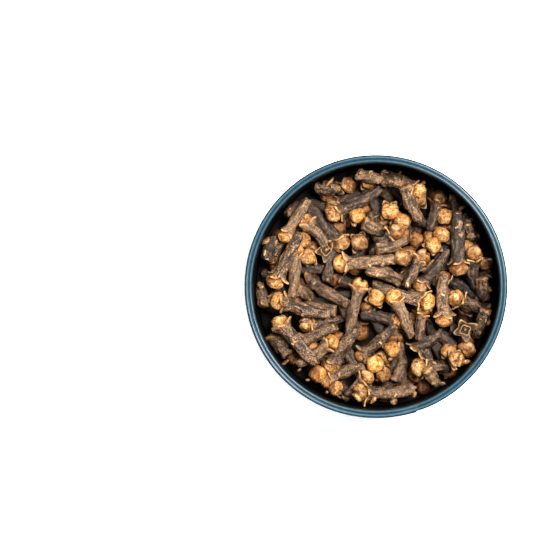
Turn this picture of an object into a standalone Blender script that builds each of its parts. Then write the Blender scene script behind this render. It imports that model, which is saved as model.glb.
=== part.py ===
"""A small round steel bowl with a rolled rim, filled with whole cloves.

Metres, +Z up. The origin is the middle of the bowl's foot, on the surface that it stands on.
The bowl is one turned shell. The cloves are one solid: a core with the cloves above it fused on.
"""

import math
from dataclasses import dataclass
from functools import partial

import bmesh
import bpy
import numpy as np
from mathutils import Matrix, Vector

MM = 0.001

# The bowl's driving sizes.
RIM_RADIUS = 33.5 * MM
RIM_WIDTH = 1.9 * MM
BOWL_HEIGHT = 32.0 * MM
WALL = 0.8 * MM
HEEL_RADIUS = 11.0 * MM
FOOT_RADIUS = 17.0 * MM
FOOT_WIDTH = 3.0 * MM
FOOT_RISE = 0.5 * MM
BEAD_RADIUS = 0.58 * MM
RIDGE_RADIUS = 0.4 * MM
GROOVE_DEPTH = 0.25 * MM
BOWL_STEPS = 48
JOINT_ANGLE = math.radians(-72)
JOINT_DEPTH = 0.22 * MM
JOINT_RADIUS = 0.6 * MM

# The heap's driving sizes.
WALL_GAP = 0.35 * MM
FILL_TOP = BOWL_HEIGHT - 5.3 * MM
FILL_DROP = 1.2 * MM
CORE_DEPTH = 9.8 * MM
BED_DEPTH = 11.5 * MM
CORE_STEPS = 32
SHOW = 0.5 * MM
LOBE_DEPTH = 4.5 * MM

# One clove: a tapered stem, four calyx lobes round its top, and a round bud.
STEM_LENGTH = 11.2 * MM
STEM_TOP = 1.75 * MM
STEM_BASE = 1.15 * MM
STEM_SIDES = 6
BUD_RADIUS = 2.2 * MM
BUD_RISE = 1.75 * MM
LOBE_LENGTH = 3.1 * MM
LOBE_WIDTH = 1.3 * MM
LOBE_REACH = 3.3 * MM
LOBE_SPREAD = math.radians(66)
LOWEST_LOBE = -0.25

# How the cloves are laid. Chance fills the heap up to TOP_ROOM below its top, and the ring
# of gaps along the wall up to RING_ROOM below it.
SEED = 5
CLOVE_COUNT = 120
SIDE_COUNT = 60
TRIES = 48
STANDING_TRIES = 8
STANDING_SHARE = 0.3
CONTACT_SHARE = 0.84
TOP_ROOM = 6.2 * MM
LYING_TILTS = np.radians(np.arange(-30, 31, 7.5))
SIDE_EDGE = -21.5 * MM
RING_COUNT = 80
RING_SHARE = 0.7
RING_ROOM = 2.4 * MM

# The cloves on top, in mm from the bowl's axis, as seen from above. The lying ones
# have their collar's place and their stem's end, and each lies over those before it.
TOP_STANDING = [
    (-3.0, 27.6), (-5.4, 18.2), (2.6, 19.5), (6.3, 16.4), (-4.2, 11.6), (10.6, 12.6), (14.6, 11.2),
    (12.0, 23.2), (17.3, 18.9), (17.3, 14.0), (23.4, 10.9), (26.4, 6.4), (7.0, 8.0), (-17.6, 8.7),
    (0.0, -2.8), (4.9, -17.6), (18.5, -17.3), (19.8, -18.4), (0.3, -19.6), (2.1, -22.8), (-20.2, 12.9),
]
TOP_OPEN = [(22.5, -10.9), (-10.9, 25.2), (-13.1, 8.9)]
TOP_LYING = [
    ("whole", -6.8, 6.5, 4.9, 7.4), ("whole", 19.1, 1.9, 26.9, -1.8), ("whole", 25.6, 7.0, 26.8, -1.0),
    ("whole", -16.8, -9.2, -9.5, -8.6), ("whole", 4.1, 13.6, -2.4, 9.3),
    ("stem", -3.3, 16.8, 2.2, 15.2), ("whole", -9.5, 22.2, -4.1, 25.5),
    ("whole", 23.2, 14.6, 18.4, 22.4), ("whole", 12.6, -21.2, 19.6, -21.4),
    ("stem", 12.9, -21.9, 16.2, -26.2), ("whole", -3.8, -24.0, -9.0, -27.4),
    ("whole", -2.7, -27.6, 5.2, -28.4), ("whole", 3.8, -8.8, -4.0, -6.9), ("stem", 5.5, 2.3, -3.3, 7.4),
    ("whole", 10.8, 5.9, 6.4, 0.6), ("whole", 12.4, -6.7, 10.6, -13.0),
    ("whole", 10.4, 25.4, 1.0, 28.9), ("stem", 8.0, 26.0, 12.4, 16.5),
    ("whole", 16.3, 21.8, 13.7, 14.8), ("whole", 21.1, 7.2, 20.1, 20.0),
    ("whole", -9.5, 19.9, 0.2, 26.4), ("whole", -10.0, 12.9, -18.5, 22.8),
    ("whole", -16.6, 15.7, -12.5, 11.0), ("stem", 0.9, 9.8, 9.2, 11.6), ("whole", 13.1, 1.1, 19.2, 9.3),
    ("whole", 17.5, -6.2, 16.7, 4.0), ("whole", 21.9, -3.2, 28.4, -6.4),
    ("whole", 11.4, -3.2, -0.9, 1.4), ("whole", -4.7, -1.5, -7.8, -12.8),
    ("whole", 5.5, -4.0, 9.6, -13.3), ("open", -16.3, 2.1, -7.3, -5.0),
    ("stem", -10.8, -6.5, -18.6, -6.0), ("whole", -17.7, -14.1, -9.7, -9.7),
    ("whole", -13.3, -14.9, -20.9, -19.6), ("whole", -10.9, -19.3, -4.1, -11.3),
    ("whole", -2.6, -16.4, 5.1, -8.8), ("whole", -10.8, -24.2, -2.8, -20.4),
    ("open", 10.8, -15.6, 16.3, -10.2), ("stem", -20.0, -0.6, -15.4, -2.0),
    ("stem", 5.7, -24.0, 7.3, -18.8), ("whole", -20.6, 7.3, -20.9, -3.0),
]

INNER_RADIUS = RIM_RADIUS - RIM_WIDTH
OUTER_RADIUS = INNER_RADIUS + WALL


def clear_scene():
    for obj in list(bpy.data.objects):
        bpy.data.objects.remove(obj, do_unlink=True)


def make_collection(name):
    collection = bpy.data.collections.new(name)
    bpy.context.scene.collection.children.link(collection)
    return collection


def make_material(name, colour, metallic, roughness):
    material = bpy.data.materials.new(name)
    material.use_nodes = True
    shader = material.node_tree.nodes["Principled BSDF"]
    shader.inputs["Base Color"].default_value = (*colour, 1.0)
    shader.inputs["Metallic"].default_value = metallic
    shader.inputs["Roughness"].default_value = roughness
    return material


def add_object(name, mesh, collection, material=None):
    obj = bpy.data.objects.new(name, mesh)
    collection.objects.link(obj)
    if material:
        mesh.materials.append(material)
    return obj


def evaluated_mesh(obj):
    """The object's mesh with its modifiers applied."""
    graph = bpy.context.evaluated_depsgraph_get()
    return bpy.data.meshes.new_from_object(obj.evaluated_get(graph), depsgraph=graph)


def arc(centre, radius, start, end, steps):
    """Points on an arc in the profile's plane, as (distance from the axis, height)."""
    angles = [math.radians(start + (end - start) * i / steps) for i in range(steps + 1)]
    return [(centre[0] + radius * math.cos(a), centre[1] + radius * math.sin(a)) for a in angles]


def turned(name, profile, steps, collection, material):
    """A closed solid, turned about Z from a profile that runs from the axis over the top and back."""
    mesh = bpy.data.meshes.new(name)
    points = [(radius, 0.0, height) for radius, height in profile]
    mesh.from_pydata(points, [(i, i + 1) for i in range(len(points) - 1)], [])
    obj = add_object(name, mesh, collection, material)
    screw = obj.modifiers.new("turn", "SCREW")
    screw.steps = screw.render_steps = steps
    screw.use_merge_vertices = True
    screw.merge_threshold = 1e-6
    screw.use_smooth_shade = True
    return obj


# The bowl.


def inner_heel(gap=0.0):
    """The inside of the bowl's rounded heel, from its floor out to its wall, a gap inside it."""
    radius = HEEL_RADIUS - WALL
    centre = (INNER_RADIUS - radius, WALL + FOOT_RISE + radius)
    return arc(centre, radius - gap, -90, 0, 4)


def rim_profile():
    """The rolled rim from its inner ridge, over the groove, round the outer bead to its underside."""
    ridge = arc((INNER_RADIUS + RIDGE_RADIUS, BOWL_HEIGHT - RIDGE_RADIUS), RIDGE_RADIUS, 180, 90, 2)
    groove = [(INNER_RADIUS + 2 * RIDGE_RADIUS, BOWL_HEIGHT - GROOVE_DEPTH)]
    bead = arc((RIM_RADIUS - BEAD_RADIUS, BOWL_HEIGHT - BEAD_RADIUS), BEAD_RADIUS, 135, -90, 5)
    return ridge + groove + bead


def bowl_profile():
    floor = [(0.0, WALL + FOOT_RISE)]
    heel_centre = (OUTER_RADIUS - HEEL_RADIUS, HEEL_RADIUS)
    outer_heel = arc(heel_centre, HEEL_RADIUS, 0, -90, 5)
    lip = [(OUTER_RADIUS, BOWL_HEIGHT - 2.6 * BEAD_RADIUS)]
    foot = [(FOOT_RADIUS, 0.0), (FOOT_RADIUS - FOOT_WIDTH / 2, FOOT_RISE), (0.0, FOOT_RISE)]
    return floor + inner_heel() + rim_profile() + lip + outer_heel + foot


def make_bowl(collection, cutters, material):
    """The turned shell, with a nick across the rim's bead where the rolled edge's two ends meet."""
    bowl = turned("bowl", bowl_profile(), BOWL_STEPS, collection, material)
    mesh = bpy.data.meshes.new("rim_joint")
    shape = bmesh.new()
    bmesh.ops.create_cone(
        shape, cap_ends=True, segments=8, radius1=JOINT_RADIUS, radius2=JOINT_RADIUS, depth=6 * MM
    )
    shape.to_mesh(mesh)
    shape.free()
    nick = add_object("rim_joint", mesh, cutters)
    reach = RIM_RADIUS + JOINT_RADIUS - JOINT_DEPTH
    nick.location = (reach * math.cos(JOINT_ANGLE), reach * math.sin(JOINT_ANGLE), BOWL_HEIGHT)
    nick.hide_render = True
    nick.display_type = "WIRE"
    cut = bowl.modifiers.new("joint", "BOOLEAN")
    cut.operation = "DIFFERENCE"
    cut.object = nick
    return bowl


# Laying the cloves.


@dataclass
class Clove:
    """One clove. Its axis runs from the stem's base to the bud, and its collar carries the lobes."""

    kind: str
    stem: float
    girth: float
    roll: float
    collar: tuple = (0.0, 0.0, 0.0)
    heading: float = 0.0
    tilt: float = 0.0

    def probes(self):
        """Balls along the axis that stand for the clove: places from the collar, radii, reach."""
        places, radii = [], []
        if self.kind in ("whole", "bud"):
            places.append(BUD_RISE * self.girth)
            radii.append(BUD_RADIUS * self.girth)
        if self.kind != "bud":
            shares = np.array([0.0, 0.2, 0.4, 0.6, 0.8, 0.95])
            places.extend(-shares * self.stem)
            radii.extend((STEM_TOP + shares * (STEM_BASE - STEM_TOP)) * self.girth)
        reach = list(radii)
        if self.kind in ("whole", "open"):
            collar = radii.index(STEM_TOP * self.girth)
            reach[collar] = LOBE_REACH * self.girth
        return np.array(places), np.array(radii), np.array(reach)


def fill_limit(distance):
    """The highest that a clove may reach, at a distance from the axis."""
    return FILL_TOP - FILL_DROP * (distance / INNER_RADIUS) ** 2


def bed_height(distance):
    """The bed that the lowest cloves are laid on."""
    return fill_limit(distance) - BED_DEPTH


def core_height(distance):
    """The top of the core, which the cloves that show stand out of."""
    return fill_limit(distance) - CORE_DEPTH


def draw_clove(kind, rng):
    """A clove of a kind, with a stem and girth as uneven as the real ones."""
    stem = STEM_LENGTH * rng.uniform(0.82, 1.14) * (rng.uniform(0.5, 0.8) if kind == "stem" else 1.0)
    return Clove(kind, stem, rng.uniform(0.88, 1.08), rng.uniform(0, math.pi / 2))


def settle(clove, laid, spots, headings, tilts, bearing=None, room=0.0):
    """Lets the clove down at each spot and tilt, and keeps the place where it comes lowest.

    laid holds the balls of the cloves below as rows of x, y, z and radius. Only the first
    balls of this clove, as many as bearing says, are held up by them. It has to stay the
    room below the heap's top.
    """
    places, radii, reach = clove.probes()
    along = places[None, None, :] * np.cos(tilts)[None, :, None]
    x = spots[:, 0, None, None] + along * np.cos(headings)[:, None, None]
    y = spots[:, 1, None, None] + along * np.sin(headings)[:, None, None]
    rise = places * np.sin(tilts)[:, None]
    distance = np.hypot(x, y)
    need = bed_height(distance) + radii * CONTACT_SHARE
    if len(laid):
        apart = (x[..., None] - laid[:, 0]) ** 2 + (y[..., None] - laid[:, 1]) ** 2
        touch = ((radii[:, None] + laid[:, 3]) * CONTACT_SHARE) ** 2
        lift = np.where(apart < touch, laid[:, 2] + np.sqrt(np.maximum(touch - apart, 0)), -1.0)
        need = np.maximum(need, lift.max(axis=-1))
    height = (need - rise)[..., :bearing].max(axis=-1)
    top = (height[..., None] + rise + radii).max(axis=-1)
    over = (height[..., None] + rise + radii - fill_limit(distance) + room).max(axis=-1)
    outside = (distance + reach).max(axis=-1) > INNER_RADIUS - WALL_GAP
    cost = np.where(outside | (over > 0), np.inf, (height[..., None] + rise).mean(axis=-1) + 0.2 * top)
    spot, tilt = np.unravel_index(np.argmin(cost), cost.shape)
    if not np.isfinite(cost[spot, tilt]):
        return False
    clove.collar = (*spots[spot], height[spot, tilt])
    clove.heading, clove.tilt = headings[spot], tilts[tilt]
    return True


def balls_of(clove):
    """The clove's balls where it lies, as rows of x, y, z and radius."""
    places, radii, _ = clove.probes()
    return np.column_stack([np.array(clove.collar) + np.outer(places, axis_of(clove)), radii])


def axis_of(clove):
    """The direction from the stem's base to the bud."""
    flat = math.cos(clove.tilt)
    return np.array([flat * math.cos(clove.heading), flat * math.sin(clove.heading), math.sin(clove.tilt)])


def any_spots(rng, tries, least=0.0):
    """Spots spread by chance over the bowl's opening. A least above 0 keeps them near its wall."""
    turn = rng.uniform(0, 2 * math.pi, tries)
    distance = INNER_RADIUS * rng.uniform(least, 1, tries) ** 0.42
    return np.column_stack([distance * np.cos(turn), distance * np.sin(turn)])


def near_spots(rng, place, spread, tries):
    """Spots close to a place given in mm."""
    return (np.array(place) + rng.normal(0, spread, (tries, 2))) * MM


def lay_cloves():
    """Lays the cloves one by one.

    Chance fills the bowl, and then the top ones get their own places. Chance fills the hidden
    side after them, and last the gaps along the wall, with broken stems and loose buds.
    """
    rng = np.random.default_rng(SEED)
    cloves, laid = [], np.empty((0, 4))

    def lay(clove, *places, **limits):
        nonlocal laid
        if settle(clove, laid, *places, **limits):
            cloves.append(clove)
            laid = np.vstack([laid, balls_of(clove)])

    def lay_loose(kind, room):
        standing = rng.random() < STANDING_SHARE and kind == "whole"
        clove = draw_clove(kind, rng)
        tries = STANDING_TRIES if standing else TRIES
        spots, headings = any_spots(rng, tries), rng.uniform(0, 2 * math.pi, tries)
        tilts = np.array([math.radians(rng.uniform(38, 82))]) if standing else LYING_TILTS
        side = spots[:, 0] < (RIM_RADIUS if room else SIDE_EDGE)
        if side.any():
            lay(clove, spots[side], headings[side], tilts, bearing=2 if standing else None, room=room)

    for kind in rng.choice(["whole", "stem", "bud"], CLOVE_COUNT, p=[0.84, 0.11, 0.05]):
        lay_loose(str(kind), TOP_ROOM)
    for kind, places, tilts in (("whole", TOP_STANDING, [50, 62, 75]), ("open", TOP_OPEN, [70])):
        for place in places:
            headings = rng.uniform(0, 2 * math.pi, 12)
            spots = near_spots(rng, place, 0.35, 12)
            lay(draw_clove(kind, rng), spots, headings, np.radians(tilts), bearing=2)
    for kind, x, y, end_x, end_y in TOP_LYING:
        clove = draw_clove(kind, rng)
        clove.stem = math.hypot(x - end_x, y - end_y) * MM
        headings = math.atan2(y - end_y, x - end_x) + rng.normal(0, math.radians(3), 12)
        lay(clove, near_spots(rng, (x, y), 0.3, 12), headings, LYING_TILTS[1:])
    for _ in range(SIDE_COUNT):
        lay_loose("whole", 0.0)
    for kind in rng.choice(["stem", "bud"], RING_COUNT, p=[0.7, 0.3]):
        spots = any_spots(rng, TRIES, RING_SHARE)
        headings = np.arctan2(spots[:, 1], spots[:, 0]) + math.pi / 2 + rng.normal(0, 0.3, TRIES)
        lay(draw_clove(str(kind), rng), spots, headings, LYING_TILTS, room=RING_ROOM)
    return cloves


# The heap's solids.


def placing(clove):
    """The matrix that carries a clove from its own frame, bud up and collar at the origin."""
    turn = Matrix.Rotation(clove.heading, 4, "Z") @ Matrix.Rotation(math.pi / 2 - clove.tilt, 4, "Y")
    return Matrix.Translation(clove.collar) @ turn @ Matrix.Rotation(clove.roll, 4, "Z")


def stem_shape(shape, clove):
    """The tapered stem, from just inside the bud down to its base."""
    bmesh.ops.create_cone(
        shape,
        cap_ends=True,
        segments=STEM_SIDES,
        radius1=STEM_BASE * clove.girth,
        radius2=STEM_TOP * clove.girth * 1.08,
        depth=clove.stem,
        matrix=Matrix.Translation((0, 0, -clove.stem / 2 + 0.4 * MM)),
    )


def bud_shape(shape, clove):
    """The round bud, a little flattened from above."""
    place = Matrix.Translation((0, 0, BUD_RISE * clove.girth)) @ Matrix.Diagonal((1, 1, 0.94, 1))
    radius = BUD_RADIUS * clove.girth
    bmesh.ops.create_uvsphere(shape, u_segments=6, v_segments=4, radius=radius, matrix=place)


def lobe_lean(quarter):
    """The turn that leans a lobe out from the clove's axis."""
    return Matrix.Rotation(quarter * math.pi / 2, 4, "Z") @ Matrix.Rotation(LOBE_SPREAD, 4, "Y")


def lobe_shape(shape, clove, quarter):
    """One pointed calyx lobe that leans out from the collar."""
    lean = lobe_lean(quarter)
    out = Matrix.Translation((0, 0, LOBE_LENGTH * clove.girth * 0.5 + 0.35 * MM))
    flat = Matrix.Diagonal((0.62, 1.0, 1.0, 1))
    bmesh.ops.create_cone(
        shape,
        cap_ends=True,
        segments=3,
        radius1=LOBE_WIDTH * clove.girth,
        radius2=0,
        depth=LOBE_LENGTH * clove.girth,
        matrix=lean @ out @ flat,
    )


def add_shape(name, build, clove, collection):
    """One closed piece of a clove, placed in the heap."""
    shape = bmesh.new()
    build(shape, clove)
    bmesh.ops.transform(shape, matrix=placing(clove), verts=shape.verts)
    mesh = bpy.data.meshes.new(name)
    shape.to_mesh(mesh)
    shape.free()
    add_object(name, mesh, collection)


def make_clove(number, clove, collection):
    """The closed pieces of one clove, which the heap's union then joins.

    No lobe points down, and a clove that lies deeper than LOBE_DEPTH is shown without its lobes.
    """
    if clove.kind != "bud":
        add_shape(f"stem_{number}", stem_shape, clove, collection)
    if clove.kind in ("whole", "bud"):
        add_shape(f"bud_{number}", bud_shape, clove, collection)
    if clove.kind in ("whole", "open") and clove.collar[2] > FILL_TOP - LOBE_DEPTH:
        for quarter in range(4):
            points = placing(clove).to_3x3() @ lobe_lean(quarter).to_3x3() @ Vector((0, 0, 1))
            if points.z > LOWEST_LOBE:
                build = partial(lobe_shape, quarter=quarter)
                add_shape(f"lobe_{number}_{quarter}", build, clove, collection)


def shows(clove):
    """Whether any ball of the clove stands out of the core."""
    balls = balls_of(clove)
    distance = np.hypot(balls[:, 0], balls[:, 1])
    return bool(np.any(balls[:, 2] + balls[:, 3] > core_height(distance) + SHOW))


def core_profile():
    """The core: the bowl's inside up to just below the cloves, clear of the bowl by the gap."""
    edge = INNER_RADIUS - WALL_GAP
    top = [(edge * share, core_height(edge * share)) for share in (1.0, 0.75, 0.45, 0.0)]
    floor = [(0.0, WALL + FOOT_RISE + WALL_GAP)]
    return (floor + inner_heel(WALL_GAP) + top)[::-1]


def largest_body(mesh):
    """Drops every loose scrap and sealed hollow, and keeps the one body with the most vertices."""
    shape = bmesh.new()
    shape.from_mesh(mesh)
    bodies, seen = [], set()
    for vert in shape.verts:
        if vert in seen:
            continue
        body, edge_of_search = {vert}, [vert]
        while edge_of_search:
            here = edge_of_search.pop()
            for other in (edge.other_vert(here) for edge in here.link_edges):
                if other not in body:
                    body.add(other)
                    edge_of_search.append(other)
        seen |= body
        bodies.append(body)
    largest = max(bodies, key=len)
    scraps = [vert for vert in shape.verts if vert not in largest]
    bmesh.ops.delete(shape, geom=scraps, context="VERTS")
    shape.to_mesh(mesh)
    shape.free()
    return len(bodies) - 1


def make_cloves(collection, material):
    """The heap: the core and every laid clove, joined by one union."""
    heap = turned("cloves", core_profile(), CORE_STEPS, collection, material)
    pieces = make_collection("clove pieces")
    showing = [clove for clove in lay_cloves() if shows(clove)]
    for number, clove in enumerate(showing):
        make_clove(number, clove, pieces)
    union = heap.modifiers.new("fuse", "BOOLEAN")
    union.operation = "UNION"
    union.operand_type = "COLLECTION"
    union.collection = pieces
    union.solver = "MANIFOLD"
    fused = evaluated_mesh(heap)
    heap.modifiers.clear()
    heap.data = fused
    for piece in list(pieces.objects):
        bpy.data.objects.remove(piece, do_unlink=True)
    bpy.data.collections.remove(pieces)
    dropped = largest_body(fused)
    fused.calc_loop_triangles()
    print("cloves:", len(showing), "shown,", len(fused.loop_triangles), "triangles,", dropped, "scraps")
    return heap


def main():
    clear_scene()
    parts = make_collection("bowl of whole cloves")
    cutters = make_collection("cutters")
    steel = make_material("blue_lacquered_steel", (0.09, 0.17, 0.24), 0.85, 0.35)
    clove_brown = make_material("dried_cloves", (0.13, 0.07, 0.035), 0.0, 0.7)
    make_bowl(parts, cutters, steel)
    make_cloves(parts, clove_brown)


main()
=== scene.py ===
# %% [markdown]
# # A bowl of whole cloves
#
# A small steel bowl, 67 mm across its rolled rim, is full of whole dried cloves and is looked at from
# straight above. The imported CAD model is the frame: it fixes every size, and stays in place for the
# physics. This lesson puts the looks around it, piece by piece: the light and the camera, the lacquered
# bowl, the forms of single cloves, and then the heap that Geometry Nodes builds out of those forms.

# %% Load the frame
import math
from dataclasses import dataclass

import bmesh
import bpy
import numpy as np
from mathutils import Matrix, Vector, noise
from mathutils.bvhtree import BVHTree


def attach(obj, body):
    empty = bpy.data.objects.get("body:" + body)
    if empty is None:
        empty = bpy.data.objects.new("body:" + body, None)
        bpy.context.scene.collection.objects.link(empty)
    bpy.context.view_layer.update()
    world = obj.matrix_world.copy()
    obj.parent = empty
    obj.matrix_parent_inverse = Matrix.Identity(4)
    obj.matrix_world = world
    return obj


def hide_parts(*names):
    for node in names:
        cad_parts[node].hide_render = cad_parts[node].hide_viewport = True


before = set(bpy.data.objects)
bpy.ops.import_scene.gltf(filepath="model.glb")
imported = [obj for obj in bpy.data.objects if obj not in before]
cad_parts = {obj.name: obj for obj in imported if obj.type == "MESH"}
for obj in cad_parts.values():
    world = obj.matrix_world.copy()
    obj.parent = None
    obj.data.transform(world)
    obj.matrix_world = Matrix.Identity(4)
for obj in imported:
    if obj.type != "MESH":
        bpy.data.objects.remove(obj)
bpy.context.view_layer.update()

MM = 0.001

# %% [markdown]
# ## Sizes
#
# The sizes are the CAD model's own, so that a piece lands where its solid is. A clove is a tapered
# stem with a collar at its top. Four calyx lobes lean out from the collar, and the round bud sits
# between them. All lengths are in metres.

# %% The bowl's and the clove's sizes
RIM_RADIUS = 33.5 * MM
RIM_WIDTH = 1.9 * MM
BOWL_HEIGHT = 32.0 * MM
WALL = 0.8 * MM
HEEL_RADIUS = 11.0 * MM
FOOT_RADIUS = 17.0 * MM
FOOT_WIDTH = 3.0 * MM
FOOT_RISE = 0.5 * MM
BEAD_RADIUS = 0.58 * MM
RIDGE_RADIUS = 0.4 * MM
JOINT_ANGLE = math.radians(-72)
INNER_RADIUS = RIM_RADIUS - RIM_WIDTH
OUTER_RADIUS = INNER_RADIUS + WALL
GROOVE_RADIUS = INNER_RADIUS + 0.79 * MM
FLANK_WIDTH = 0.36 * MM

WALL_GAP = 0.35 * MM
FILL_TOP = BOWL_HEIGHT - 5.3 * MM
FILL_DROP = 1.2 * MM
CORE_DEPTH = 9.8 * MM
BED_DEPTH = 11.5 * MM

STEM_LENGTH = 11.2 * MM
STEM_TOP = 1.75 * MM
STEM_BASE = 1.15 * MM
BUD_RADIUS = 2.2 * MM
BUD_RISE = 1.75 * MM
LOBE_LENGTH = 3.1 * MM
LOBE_WIDTH = 1.3 * MM
LOBE_REACH = 3.3 * MM

print("rim", RIM_RADIUS / MM * 2, "mm across, clove", (STEM_LENGTH + BUD_RISE + BUD_RADIUS) / MM, "mm long")

# %% [markdown]
# ## Small helpers
#
# Colours are written as the hex values that a paint program shows. Blender's shaders work in linear
# light, so one function turns them round. One more adds a node, sets it and links it, for materials
# and for Geometry Nodes alike.


# %% Colours and nodes
def linear(hex_colour):
    """An sRGB hex colour as linear red, green, blue and alpha."""
    shares = [int(hex_colour[i:i + 2], 16) / 255 for i in (1, 3, 5)]
    return (*[s / 12.92 if s <= 0.04045 else ((s + 0.055) / 1.055) ** 2.4 for s in shares], 1.0)


def add_node(tree, kind, inputs=None, output=None, stops=(), **settings):
    """Adds a node, and gives back its named output, or else the first one in use.

    An input is given by name or number, as a value, a hex colour or the socket to link from.
    Stops are a colour ramp's, as places and hex colours.
    """
    node = tree.nodes.new(kind)
    for name, value in settings.items():
        setattr(node, name, value)
    for name, value in (inputs or {}).items():
        if isinstance(value, bpy.types.NodeSocket):
            tree.links.new(value, node.inputs[name])
        else:
            is_hex = isinstance(value, str) and value.startswith("#")
            node.inputs[name].default_value = linear(value) if is_hex else value
    if stops:
        elements = node.color_ramp.elements
        while len(elements) < len(stops):
            elements.new(1.0)
        for element, (place, colour) in zip(elements, stops):
            element.position, element.color = place, linear(colour)
    return node.outputs[output] if output else next((out for out in node.outputs if out.enabled), None)


def new_material(name, roughness, specular=0.5):
    """A material with its node tree and its Principled shader."""
    material = bpy.data.materials.new(name)
    material.use_nodes = True
    shader = material.node_tree.nodes["Principled BSDF"]
    shader.inputs["Roughness"].default_value = roughness
    shader.inputs["Specular IOR Level"].default_value = specular
    return material, material.node_tree, shader


def layered(tree, colour, *layers):
    """Lays colours over one another. A layer says how it blends, how much of it there is and its colour."""
    for blend, amount, over in layers:
        inputs = {0: amount, 6: colour, 7: over}
        colour = add_node(tree, "ShaderNodeMix", inputs, data_type="RGBA", blend_type=blend)
    return colour


def dress(tree, shader, colour, height, strength, depth):
    """Gives a shader its colour, and bumps from a height."""
    bump = {"Height": height, "Strength": strength, "Distance": depth}
    tree.links.new(colour, shader.inputs["Base Color"])
    tree.links.new(add_node(tree, "ShaderNodeBump", bump), shader.inputs["Normal"])


def whereabouts(tree):
    """The place on the object, its distance from the bowl's axis and its height, as sockets."""
    place = add_node(tree, "ShaderNodeTexCoord", output="Object")
    flat = add_node(tree, "ShaderNodeVectorMath", {0: place, 1: (1.0, 1.0, 0.0)}, operation="MULTIPLY")
    from_axis = add_node(tree, "ShaderNodeVectorMath", {0: flat}, operation="LENGTH")
    return place, from_axis, add_node(tree, "ShaderNodeSeparateXYZ", {"Vector": place}, "Z")


print("#808080 is", round(linear("#808080")[0], 3), "in linear light")


# %% Objects and meshes
def add_object(name, data):
    obj = bpy.data.objects.new(name, data)
    bpy.context.scene.collection.objects.link(obj)
    return obj


def plain_mesh(obj):
    """Applies an object's modifiers and leaves it with a plain mesh."""
    graph = bpy.context.evaluated_depsgraph_get()
    mesh = bpy.data.meshes.new_from_object(obj.evaluated_get(graph), depsgraph=graph)
    obj.modifiers.clear()
    obj.data = mesh


def places_of(mesh):
    """A mesh's vertices as rows of x, y and z."""
    places = np.empty(len(mesh.vertices) * 3)
    mesh.vertices.foreach_get("co", places)
    return places.reshape(-1, 3)


def set_attribute(mesh, name, kind, values, domain="POINT"):
    field = "vector" if kind == "FLOAT_VECTOR" else "value"
    mesh.attributes.new(name, kind, domain).data.foreach_set(field, np.array(values).ravel())


def bell(value, middle, width):
    """A smooth hill: 1 at its middle, and next to nothing two widths away."""
    return np.exp(-((value - middle) / width) ** 2)


def add_to_model(piece, slot, *nodes):
    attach(piece, "root")
    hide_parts(*nodes)


print("a bell is", round(float(bell(2.0, 0.0, 1.0)), 3), "two widths away")

# %% [markdown]
# ## Camera
#
# The photograph looks straight down. A long lens a good half metre above the rim keeps the wall nearly
# hidden, as it is there. The lens shift puts the bowl at its place in the picture without tilting
# the camera, so the rim stays a true circle.

# %% Camera straight above
PHOTO_SIZE = 533
BOWL_CENTRE_PX = (376.0, 286.5)
RIM_RADIUS_PX = 131.7

picture_width = PHOTO_SIZE * RIM_RADIUS / RIM_RADIUS_PX
lens = bpy.data.cameras.new("camera")
lens.lens, lens.sensor_width = 150.0, 36.0
lens.shift_x = (PHOTO_SIZE / 2 - BOWL_CENTRE_PX[0]) / PHOTO_SIZE
lens.shift_y = (BOWL_CENTRE_PX[1] - PHOTO_SIZE / 2) / PHOTO_SIZE
lens.clip_start, lens.clip_end = 0.01, 10.0
camera = add_object("camera", lens)
camera.location = (0, 0, BOWL_HEIGHT + picture_width * lens.lens / lens.sensor_width)
bpy.context.scene.camera = camera
print("picture is", round(picture_width / MM, 1), "mm wide at the rim")

# %% [markdown]
# ## Light and floor
#
# The shot is a soft studio one. The key light stands high at the upper right: it makes the tops of the
# buds bright, leaves the gaps dark and draws the highlight along the rim there. A weak fill beside
# the camera opens the shadows a little, and a narrow light low at the lower left draws a thin pale
# line. The floor is a pale sweep that nearly lights itself, as paper on a light table does.

# %% Studio
HEAP_MIDDLE = Vector((0, 0, 0.025))
FLOOR_SIDE = 4.0
FLOOR_DROP = 0.02 * MM

scene = bpy.context.scene
scene.view_settings.view_transform = "Standard"
scene.view_settings.look = "None"
world = bpy.data.worlds.new("studio")
world.use_nodes = True
scene.world = world
world.node_tree.nodes["Background"].inputs["Color"].default_value = linear("#F4F7FA")
world.node_tree.nodes["Background"].inputs["Strength"].default_value = 0.05


def area_light(name, place, size, power, colour):
    """A square soft light at a place, turned to face the heap."""
    data = bpy.data.lights.new(name, "AREA")
    data.size, data.energy, data.color = size, power, linear(colour)[:3]
    light = add_object(name, data)
    light.location = place
    light.rotation_euler = (HEAP_MIDDLE - Vector(place)).to_track_quat("-Z", "Y").to_euler()


area_light("key", (0.22, 0.17, 0.70), 0.22, 18.8, "#FFFBF5")
area_light("fill", (-0.12, 0.06, 0.76), 0.4, 1.7, "#FFFFFF")
area_light("edge", (-0.42, -0.40, 0.30), 0.12, 1.2, "#F2F6FF")

floor_mesh = bpy.data.meshes.new("floor")
shape = bmesh.new()
bmesh.ops.create_grid(shape, x_segments=1, y_segments=1, size=FLOOR_SIDE / 2)
bmesh.ops.translate(shape, verts=shape.verts, vec=(0, 0, -FLOOR_DROP))
shape.to_mesh(floor_mesh)
shape.free()
floor = add_object("floor", floor_mesh)
# Matt paper gives no highlight, only an even ground that is nearly white.
paper, tree, shader = new_material("white sweep paper", 0.9)
shader.inputs["Base Color"].default_value = linear("#EDEDED")
shader.inputs["Emission Color"].default_value = linear("#FFFFFF")
shader.inputs["Emission Strength"].default_value = 0.68
floor_mesh.materials.append(paper)

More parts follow.
